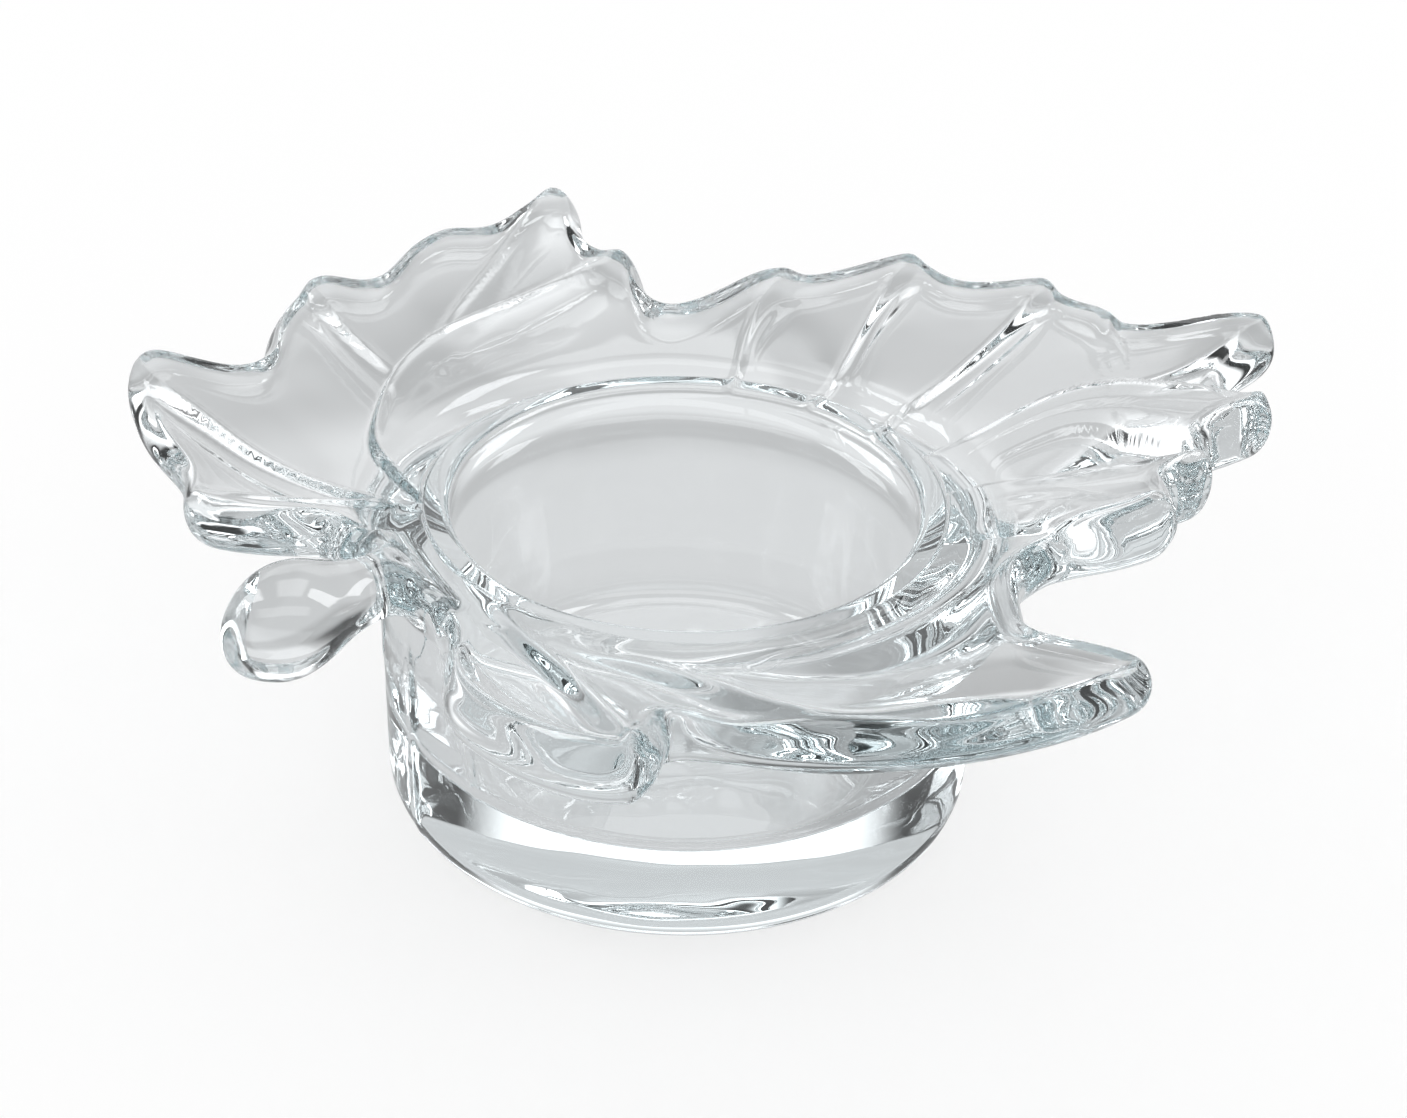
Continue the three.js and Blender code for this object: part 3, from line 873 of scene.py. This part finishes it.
@dataclass
class Holder:
    """The whole holder as one skin of glass."""

    cup: Cup
    leaf: Leaf
    stem: Stem
    spoke_count: int = 722
    top_steps: int = 68
    under_steps: int = 32
    survey_spokes: int = 20
    survey_steps: int = 90
    survey_rings: int = 24
    survey_start: float = 0.1
    steepness: float = 4.0
    turn_crowding: float = 2.0
    rim_crowding: float = 3.0
    fillet_crowding: float = 0.6
    front_crowding: float = 0.6
    front_span: tuple = (-0.2, 0.5)
    calming: int = 8

    def survey(self, plan: np.ndarray) -> np.ndarray:
        """Works out the height of the blade's top over the cup's height, without its rim.

        It is the blade's rise plus the veins' pleats and cords, which calm down round the stem's root.

        Args:
            plan: Plan points, with x and y along the last axis.

        Returns:
            Heights in millimetres.
        """
        x, y = plan[..., 0], plan[..., 1]
        pleats, cords = self.leaf.relief(x, y, self.cup.radius)
        calm = self.stem.calm(x, y, self.cup.radius)
        return self.leaf.lift(x, y, self.cup.lip_radius) + (pleats + cords) * calm

    def spokes(self) -> tuple:
        """Works out the plan spokes from the lip to the outline.

        They lie closer where the blade is steep, where the outline turns, on the stem and at the front.

        Returns:
            Bearings at the lip, and the spokes' starts, turning points and ends.
        """
        rows = self.leaf.outline_points(self.stem, self.cup.radius)
        outline = closed_curve(polar_points(rows, self.cup.radius), self.survey_spokes)
        outline = softened(outline, self.leaf.outline_softening)
        outline = np.concatenate([outline, outline[:1]])
        roots = np.append(rows[:, 2], rows[0, 2] + 360.0)
        places = np.arange(len(outline)) / self.survey_spokes
        bearings = np.radians(np.interp(places, np.arange(len(roots)), roots))
        start = self.cup.lip_radius * compass(bearings)
        shares = np.linspace(self.survey_start, 1.0, self.survey_rings)
        plan = start[:, None, :] + shares[None, :, None] * (outline - start)[:, None, :]
        across = np.linalg.norm(np.diff(plan, axis=0), axis=2)
        weight = np.hypot(across, self.steepness * np.diff(self.survey(plan), axis=0)).mean(1)
        heading = np.unwrap(np.arctan2(*np.diff(outline, axis=0).T[::-1]))
        turning = np.abs(np.diff(heading, append=heading[0] + 2.0 * np.pi))
        weight = weight + self.turn_crowding * turning
        on_stem = self.stem.weight(outline[1:, 0], outline[1:, 1], self.cup.radius)
        ahead = outline[1:] @ TOWARDS_CAMERA / np.linalg.norm(outline[1:], axis=1)
        front = smooth(ahead, *self.front_span)
        weight = weight * (1.0 + self.stem.crowding * on_stem + self.front_crowding * front)
        chosen = even_places(weight[None], self.spoke_count)[0, :-1] * len(weight)
        kept = np.arange(len(outline))
        bearings = np.interp(chosen, kept, bearings)
        end = np.stack([np.interp(chosen, kept, outline[:, axis]) for axis in range(2)], axis=1)
        start = self.cup.lip_radius * compass(bearings)
        return bearings, (start, self.stem.turning_points(start, end, self.cup.radius), end)

    def shares(self, spokes: tuple) -> np.ndarray:
        """Works out the rings' places along each spoke, closer where the blade is steep and at the rim.

        Each step holds the same weight: its length, raised by its climb, plus a share of the rim's arc. The
        weights are taken at places 1 - (1 - t)^2, finer towards the rim, and blurred round the spokes.

        Args:
            spokes: Starts, turning points and ends of the spokes.

        Returns:
            Places from 0 at the lip to 1 at the outline, shape (spokes, top steps + 1).
        """
        even = np.linspace(0.0, 1.0, self.survey_steps + 1)
        places = np.broadcast_to(1.0 - (1.0 - even) ** 2, (len(spokes[0]), len(even)))
        plan = along_spokes(spokes, places)
        step = np.linalg.norm(np.diff(plan, axis=1), axis=2)
        climb = np.diff(self.survey(plan), axis=1)
        rim = rounding_arc(step[:, ::-1], self.leaf.edge_rounding)[:, ::-1]
        weight = np.hypot(step, self.steepness * climb) + self.rim_crowding * rim
        return 1.0 - (1.0 - even_places(blurred(weight, self.calming), self.top_steps)) ** 2

    def under_shares(self, spokes: tuple) -> np.ndarray:
        """Works out the rings' places under the blade, closer round the rim and in the fillet at the wall.

        Each step holds the same weight: its length plus shares of the rim's and the fillet's arcs. The
        weights are taken at places 1 - depth t^2, finer towards the rim, and blurred round the spokes.

        Args:
            spokes: Starts, turning points and ends of the spokes.

        Returns:
            Places from just inside the outline to the wall, shape (spokes, under steps).
        """
        even = np.linspace(0.0, 1.0, self.survey_steps + 1)
        depth = 1.0 - crossing(spokes, self.cup.shoulder_radius)
        plan = along_spokes(spokes, 1.0 - depth * even**2)
        step = np.linalg.norm(np.diff(plan, axis=1), axis=2)
        rim = rounding_arc(step, self.leaf.edge_rounding)
        fillet = rounding_arc(step[:, ::-1], self.leaf.under_fillet)[:, ::-1]
        weight = step + self.rim_crowding * rim + self.fillet_crowding * fillet
        return 1.0 - depth * even_places(blurred(weight, self.calming), self.under_steps)[:, 1:] ** 2

    def heights(self, plan: np.ndarray, outline: np.ndarray) -> tuple:
        """Works out the blade's top and underside over plan points.

        Both lie half a thickness from the middle height, times sqrt(1 - (1 - inset)^2), where inset is the
        distance to the outline over the edge rounding, up to 1. On the stem the thickness and the rounding
        become the stem's radius, which makes its section round. The underside falls to the wall in a
        quarter-round fillet, and bulges by a share of the pleats above it.

        Args:
            plan: Plan points of shape (spokes, steps, 2).
            outline: The blade's closed outline.

        Returns:
            Heights of the top and of the underside, each of shape (spokes, steps).
        """
        cup, leaf, stem = self.cup, self.leaf, self.stem
        x, y = plan[..., 0], plan[..., 1]
        share = stem.weight(x, y, cup.radius)
        gap = gap_to_outline(plan.reshape(-1, 2), outline).reshape(x.shape)
        bead = leaf.bead_height * np.exp(-(((gap - leaf.bead_inset) / leaf.bead_width) ** 2))
        calm = stem.calm(x, y, cup.radius)
        bead = bead * calm
        top = cup.height + self.survey(plan) + bead
        overhang = np.hypot(x, y) - cup.shoulder_radius
        beyond = np.clip(overhang, 0.0, leaf.under_fillet)
        dip = leaf.under_fillet - np.sqrt(leaf.under_fillet**2 - (leaf.under_fillet - beyond) ** 2)
        run = np.maximum(np.hypot(x, y) - cup.radius, 0.0)
        thickness = leaf.thickness - leaf.thinning * (1.0 - np.exp(-run / leaf.lift_run))
        pleats, _ = leaf.relief(x, y, cup.radius)
        bulge = leaf.under_relief * pleats * smooth(overhang, 0.0, 2.0 * leaf.under_fillet) * calm
        under = cup.height - thickness + leaf.lift(x, y, cup.radius) - dip - bulge
        along = -x - cup.radius
        radius = stem.radius_at(along)
        rounding = leaf.edge_rounding + (radius - leaf.edge_rounding) * share
        middle = (top + under) / 2.0
        middle = middle + (stem.axis_at(along) - middle) * share
        half = (top - under) / 2.0
        half = half + (radius - half) * share
        inset = np.minimum(gap / rounding, 1.0)
        half = half * np.sqrt(1.0 - (1.0 - inset) ** 2)
        return middle + half, middle - half

    def skin(self) -> np.ndarray:
        """Lofts the whole skin from the well's floor over the leaf to the base.

        Returns:
            Points of shape (spokes, profile points, 3) in millimetres.
        """
        cup = self.cup
        bearings, spokes = self.spokes()
        top_plan = along_spokes(spokes, self.shares(spokes))
        top, _ = self.heights(top_plan, spokes[2])
        top_skin = np.concatenate([top_plan, top[..., None]], axis=2)

        under_plan = along_spokes(spokes, self.under_shares(spokes))
        _, under = self.heights(under_plan, spokes[2])
        under_skin = np.concatenate([under_plan, under[..., None]], axis=2)

        wall_bearings = np.unwrap(np.arctan2(under_plan[:, -1, 1], under_plan[:, -1, 0]))
        lip = cup.lip(bearings)
        _, cords = self.leaf.relief(lip[..., 0], lip[..., 1], cup.radius)
        out = np.hypot(lip[..., 0], lip[..., 1]) - cup.well_radius
        lip[..., 2] += cords * smooth(out, 0.0, cup.cord_run)
        outside = cup.outside(wall_bearings, under[:, -1])
        return np.concatenate([cup.well(bearings), lip, top_skin, under_skin, outside], axis=1)

    def build(self) -> bpy.types.Object:
        """Makes the mesh: the lofted grid with a fan of triangles at the well's floor and at the base.

        Returns:
            The glass piece, in metres, at the origin.
        """
        grid = self.skin()
        spokes, rings = grid.shape[:2]
        poles = np.array([[0.0, 0.0, self.cup.floor], [0.0, 0.0, 0.0]])
        verts = np.concatenate([grid.reshape(-1, 3), poles]) * MM
        spoke = np.arange(spokes)
        beside = (spoke + 1) % spokes
        ring = np.arange(rings - 1)
        here = spoke[:, None] * rings + ring[None, :]
        there = beside[:, None] * rings + ring[None, :]
        quads = np.stack([here, here + 1, there + 1, there], axis=2).reshape(-1, 4)
        floor_pole = spokes * rings
        first, last = spoke * rings, spoke * rings + rings - 1
        floor_fan = np.stack([np.full(spokes, floor_pole), first, first[beside]], axis=1)
        base_fan = np.stack([np.full(spokes, floor_pole + 1), last[beside], last], axis=1)
        mesh = bpy.data.meshes.new("glass_holder")
        mesh.from_pydata(verts.tolist(), [], quads.tolist() + floor_fan.tolist() + base_fan.tolist())
        mesh.validate()
        mesh.polygons.foreach_set("use_smooth", np.ones(len(mesh.polygons), dtype=bool))
        mesh.update()
        piece = bpy.data.objects.new("glass_holder", mesh)
        bpy.context.scene.collection.objects.link(piece)
        return piece

    def dress(self, piece: bpy.types.Object, finish: GlassFinish) -> None:
        """Gives the piece its glass and lets it stand for the four solids.

        Args:
            piece: The glass mesh.
            finish: The glass.
        """
        piece.data.materials.append(finish.material())
        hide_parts("base", "cup", "leaf", "stem")
        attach(piece, "root")


@dataclass(frozen=True)
class SoftPanel:
    """A soft-edged rectangle on the studio's walls, as seen from the holder, with angles in degrees."""

    bearing: float
    elevation: float
    half_width: float
    half_height: float
    level: float
    softness: float = 0.25
    least_depth: float = 0.001
    facing_fade: float = 0.05

    def share(self, sketch: NodeSketch, direction: bpy.types.NodeSocket) -> bpy.types.NodeSocket:
        """Works out how much of the panel a direction meets.

        The direction is projected on the panel's plane, and each half size fades over the softness.

        Args:
            sketch: The graph to add to.
            direction: The direction that is looked in.

        Returns:
            A number from 0 outside the panel to 1 on it.
        """
        turn, rise = math.radians(self.bearing), math.radians(self.elevation)
        ahead = Vector((math.cos(turn) * math.cos(rise), math.sin(turn) * math.cos(rise), math.sin(rise)))
        right = Vector((math.sin(turn), -math.cos(turn), 0.0))
        depth = sketch.along(direction, ahead)
        near = sketch.number("MAXIMUM", depth, self.least_depth)
        total = sketch.fade(depth, 0.0, self.facing_fade)
        for axis, half in ((right, self.half_width), (right.cross(ahead), self.half_height)):
            offset = sketch.number("ABSOLUTE", sketch.number("DIVIDE", sketch.along(direction, axis), near))
            edge = math.tan(math.radians(half))
            total = sketch.number("MULTIPLY", total, sketch.fade(offset, edge * (1.0 + self.softness), edge))
        return total


@dataclass
class Studio:
    """A pale floor, soft light from all round and the photograph's camera.

    To the camera, floor and surroundings are plain white. In the glass, the floor glows as painted light,
    with painted shade under and beside the holder, and the surroundings show as dark walls with soft
    panels. Spans are where a level fades into the next: distances from the holder's axis in metres, or
    cosines of the angle to a bearing.
    """

    azimuth: float = -30.0
    elevation: float = 30.2
    roll: float = 1.8
    distance: float = 0.4095
    focal_pixels: float = 3200.0
    sensor_width: float = 36.0
    clip_start: float = 0.01
    target_height: float = 0.043
    centre_x: float = 685.0
    centre_y: float = 501.0
    floor_size: float = 3.0
    floor_gap: float = 0.0004
    floor_colour: tuple = (0.94, 0.94, 0.94, 1.0)
    daylight: float = 1.06
    through_glass: tuple = (0.975, 0.99, 1.0, 1.0)
    floor_white: float = 0.7
    # Levels of the floor's painted glow in the glass, with painted shadow under the holder and painted shade
    # on its sides
    shaded_level: float = 0.46
    under_level: float = 0.7
    near_level: float = 0.74
    floor_level: float = 0.58
    painted_side_shade: float = 0.92
    even_radius: float = 0.03
    sweep_level: float = 0.85
    far_level: float = 0.12
    sweep_bearing: float = 60.0
    shade_bearing: float = -40.0
    shade_span: tuple = (0.5, 0.95)
    side_span: tuple = (0.8, 0.94)
    sweep_span: tuple = (0.6, 0.9)
    near_span: tuple = (0.05, 0.057)
    floor_span: tuple = (0.088, 0.108)
    far_span: tuple = (0.13, 0.22)
    bounces: int = 48
    wall_level: float = 0.045
    panels: tuple = (
        SoftPanel(bearing=60, elevation=6, half_width=24, half_height=9, level=0.65, softness=1.2),
        SoftPanel(bearing=62, elevation=34, half_width=22, half_height=11, level=1.5, softness=0.9),
        SoftPanel(bearing=60, elevation=84, half_width=16, half_height=14, level=2.5, softness=0.5),
        SoftPanel(bearing=150, elevation=36, half_width=9, half_height=18, level=6.0),
        SoftPanel(bearing=-30, elevation=42, half_width=8, half_height=18, level=6.0),
        SoftPanel(bearing=-120, elevation=52, half_width=34, half_height=7, level=1.8, softness=0.5),
    )

    def camera(self) -> None:
        """Sets the camera by the photograph's viewing angle, with a small shift for its framing."""
        turn, rise, roll = (math.radians(angle) for angle in (self.azimuth, self.elevation, self.roll))
        away = Vector((-math.sin(turn), math.cos(turn), 0.0))
        right = Vector((math.cos(turn), math.sin(turn), 0.0))
        forward = math.cos(rise) * away + Vector((0.0, 0.0, -math.sin(rise)))
        up = right.cross(forward)
        rolled_right = math.cos(roll) * right + math.sin(roll) * up
        rolled_up = math.cos(roll) * up - math.sin(roll) * right
        place = Vector((0.0, 0.0, self.target_height)) - self.distance * forward
        data = bpy.data.cameras.new("photo_camera")
        data.sensor_width = self.sensor_width
        data.lens = data.sensor_width * self.focal_pixels / IMAGE_WIDTH
        data.shift_x = (IMAGE_WIDTH / 2 - self.centre_x) / IMAGE_WIDTH
        data.shift_y = (self.centre_y - IMAGE_HEIGHT / 2) / IMAGE_WIDTH
        data.clip_start = self.clip_start
        camera = bpy.data.objects.new("photo_camera", data)
        basis = Matrix((rolled_right, rolled_up, -forward)).transposed()
        camera.matrix_world = Matrix.Translation(place) @ basis.to_4x4()
        bpy.context.scene.collection.objects.link(camera)
        bpy.context.scene.camera = camera

    def floor(self) -> None:
        """Lays the pale floor just under the foot; in the glass it glows as painted light with painted
        shade.
        """
        half = self.floor_size / 2.0
        low = -self.floor_gap
        mesh = bpy.data.meshes.new("floor")
        corners = [(-half, -half, low), (half, -half, low), (half, half, low), (-half, half, low)]
        mesh.from_pydata(corners, [], [(0, 1, 2, 3)])
        floor = bpy.data.objects.new("floor", mesh)
        bpy.context.scene.collection.objects.link(floor)
        paint = bpy.data.materials.new("pale_floor")
        paint.use_nodes = True
        sketch = NodeSketch(paint.node_tree)
        matt = sketch.add("ShaderNodeBsdfDiffuse", {"Color": self.floor_colour})
        white = sketch.add("ShaderNodeEmission", {"Color": WHITE})
        # Painted light: in the glass the floor is an emission whose level paints the holder's shadow and
        # shade
        shown = sketch.add("ShaderNodeEmission", {
            "Color": self.through_glass, "Strength": self.floor_shade(sketch)})
        camera_rays = sketch.add("ShaderNodeLightPath", {}).outputs["Is Camera Ray"]
        pale = sketch.add("ShaderNodeMixShader", {
            "Fac": sketch.number("MULTIPLY", camera_rays, self.floor_white),
            1: matt.outputs["BSDF"], 2: white.outputs["Emission"]})
        choice = self.glass_choice(sketch, pale.outputs["Shader"], shown.outputs["Emission"])
        sketch.add("ShaderNodeOutputMaterial", {"Surface": choice})
        mesh.materials.append(paint)

    def floor_shade(self, sketch: NodeSketch) -> bpy.types.NodeSocket:
        """Adds the floor's painted glow in the glass: painted shadow under the holder, pale near it, bright
        far behind.

        Args:
            sketch: The floor's graph.

        Returns:
            The level at the place that is looked at.
        """
        spot = sketch.add("ShaderNodeTexCoord", {}).outputs["Object"]
        away = sketch.length(spot)
        facing = self.facing(sketch, spot, away, self.sweep_bearing)
        # Painted shadow: the floor is darkest under the holder towards the shade bearing
        shaded = sketch.fade(self.facing(sketch, spot, away, self.shade_bearing), *self.shade_span)
        under = sketch.blend(self.under_level, self.shaded_level, shaded)
        near = sketch.blend(under, self.near_level, sketch.fade(away, *self.near_span))
        level = sketch.blend(near, self.floor_level, sketch.fade(away, *self.floor_span))
        # Painted shade: the floor is dimmer away from the sweep behind the holder
        dimming = sketch.blend(self.painted_side_shade, 1.0, sketch.fade(facing, *self.side_span))
        level = sketch.number("MULTIPLY", level, dimming)
        far = sketch.blend(self.far_level, self.sweep_level, sketch.fade(facing, *self.sweep_span))
        return sketch.blend(level, far, sketch.fade(away, *self.far_span))

    def facing(self, sketch: NodeSketch, spot: bpy.types.NodeSocket, away: bpy.types.NodeSocket,
               bearing: float) -> bpy.types.NodeSocket:
        """Adds the cosine of the angle between a floor spot and a bearing, less near the holder's axis.

        Args:
            sketch: The floor's graph.
            spot: Place on the floor.
            away: Its distance from the holder's axis.
            bearing: Bearing in degrees.

        Returns:
            A number from -1 to 1.
        """
        turn = math.radians(bearing)
        ahead = sketch.along(spot, Vector((math.cos(turn), math.sin(turn), 0.0)))
        return sketch.number("DIVIDE", ahead, sketch.number("MAXIMUM", away, self.even_radius))

    def glass_choice(self, sketch: NodeSketch, plain: bpy.types.NodeSocket,
                     shown: bpy.types.NodeSocket) -> bpy.types.NodeSocket:
        """Adds a choice between two shaders by the kind of ray.

        Args:
            sketch: The graph to add to.
            plain: Shader for the camera and for light on surfaces.
            shown: Shader for what is seen in or through the glass.

        Returns:
            The chosen shader.
        """
        path = sketch.add("ShaderNodeLightPath", {}).outputs
        in_glass = sketch.number("MAXIMUM", path["Is Glossy Ray"], path["Is Transmission Ray"])
        choose = sketch.add("ShaderNodeMixShader", {"Fac": in_glass, 1: plain, 2: shown})
        return choose.outputs["Shader"]

    def world(self) -> None:
        """Makes the surroundings: plain white, with walls and soft panels shown in the glass."""
        world = bpy.data.worlds.new("studio")
        bpy.context.scene.world = world
        world.use_nodes = True
        sketch = NodeSketch(world.node_tree)
        direction = sketch.add("ShaderNodeTexCoord", {}).outputs["Generated"]
        level = self.wall_level
        for panel in self.panels:
            level = sketch.blend(level, panel.level, panel.share(sketch, direction))
        plain = sketch.add("ShaderNodeBackground", {"Color": WHITE, "Strength": self.daylight})
        shown = sketch.add("ShaderNodeBackground", {"Color": self.through_glass, "Strength": level})
        choice = self.glass_choice(sketch, plain.outputs["Background"], shown.outputs["Background"])
        sketch.add("ShaderNodeOutputWorld", {"Surface": choice})

    def set_up(self) -> None:
        """Sets camera, floor and surroundings."""
        scene = bpy.context.scene
        scene.view_settings.view_transform = "Standard"
        scene.cycles.max_bounces = self.bounces
        scene.cycles.transmission_bounces = self.bounces
        scene.cycles.glossy_bounces = self.bounces
        self.camera()
        self.floor()
        self.world()


def main() -> None:
    """Builds the holder and its studio."""
    logging.basicConfig(level=logging.INFO)
    Studio().set_up()
    holder = Holder(Cup(), Leaf(), Stem())
    piece = holder.build()
    holder.dress(piece, GlassFinish())
    LOG.info("%s has %d faces", piece.name, len(piece.data.polygons))


if __name__ == "__main__":
    main()
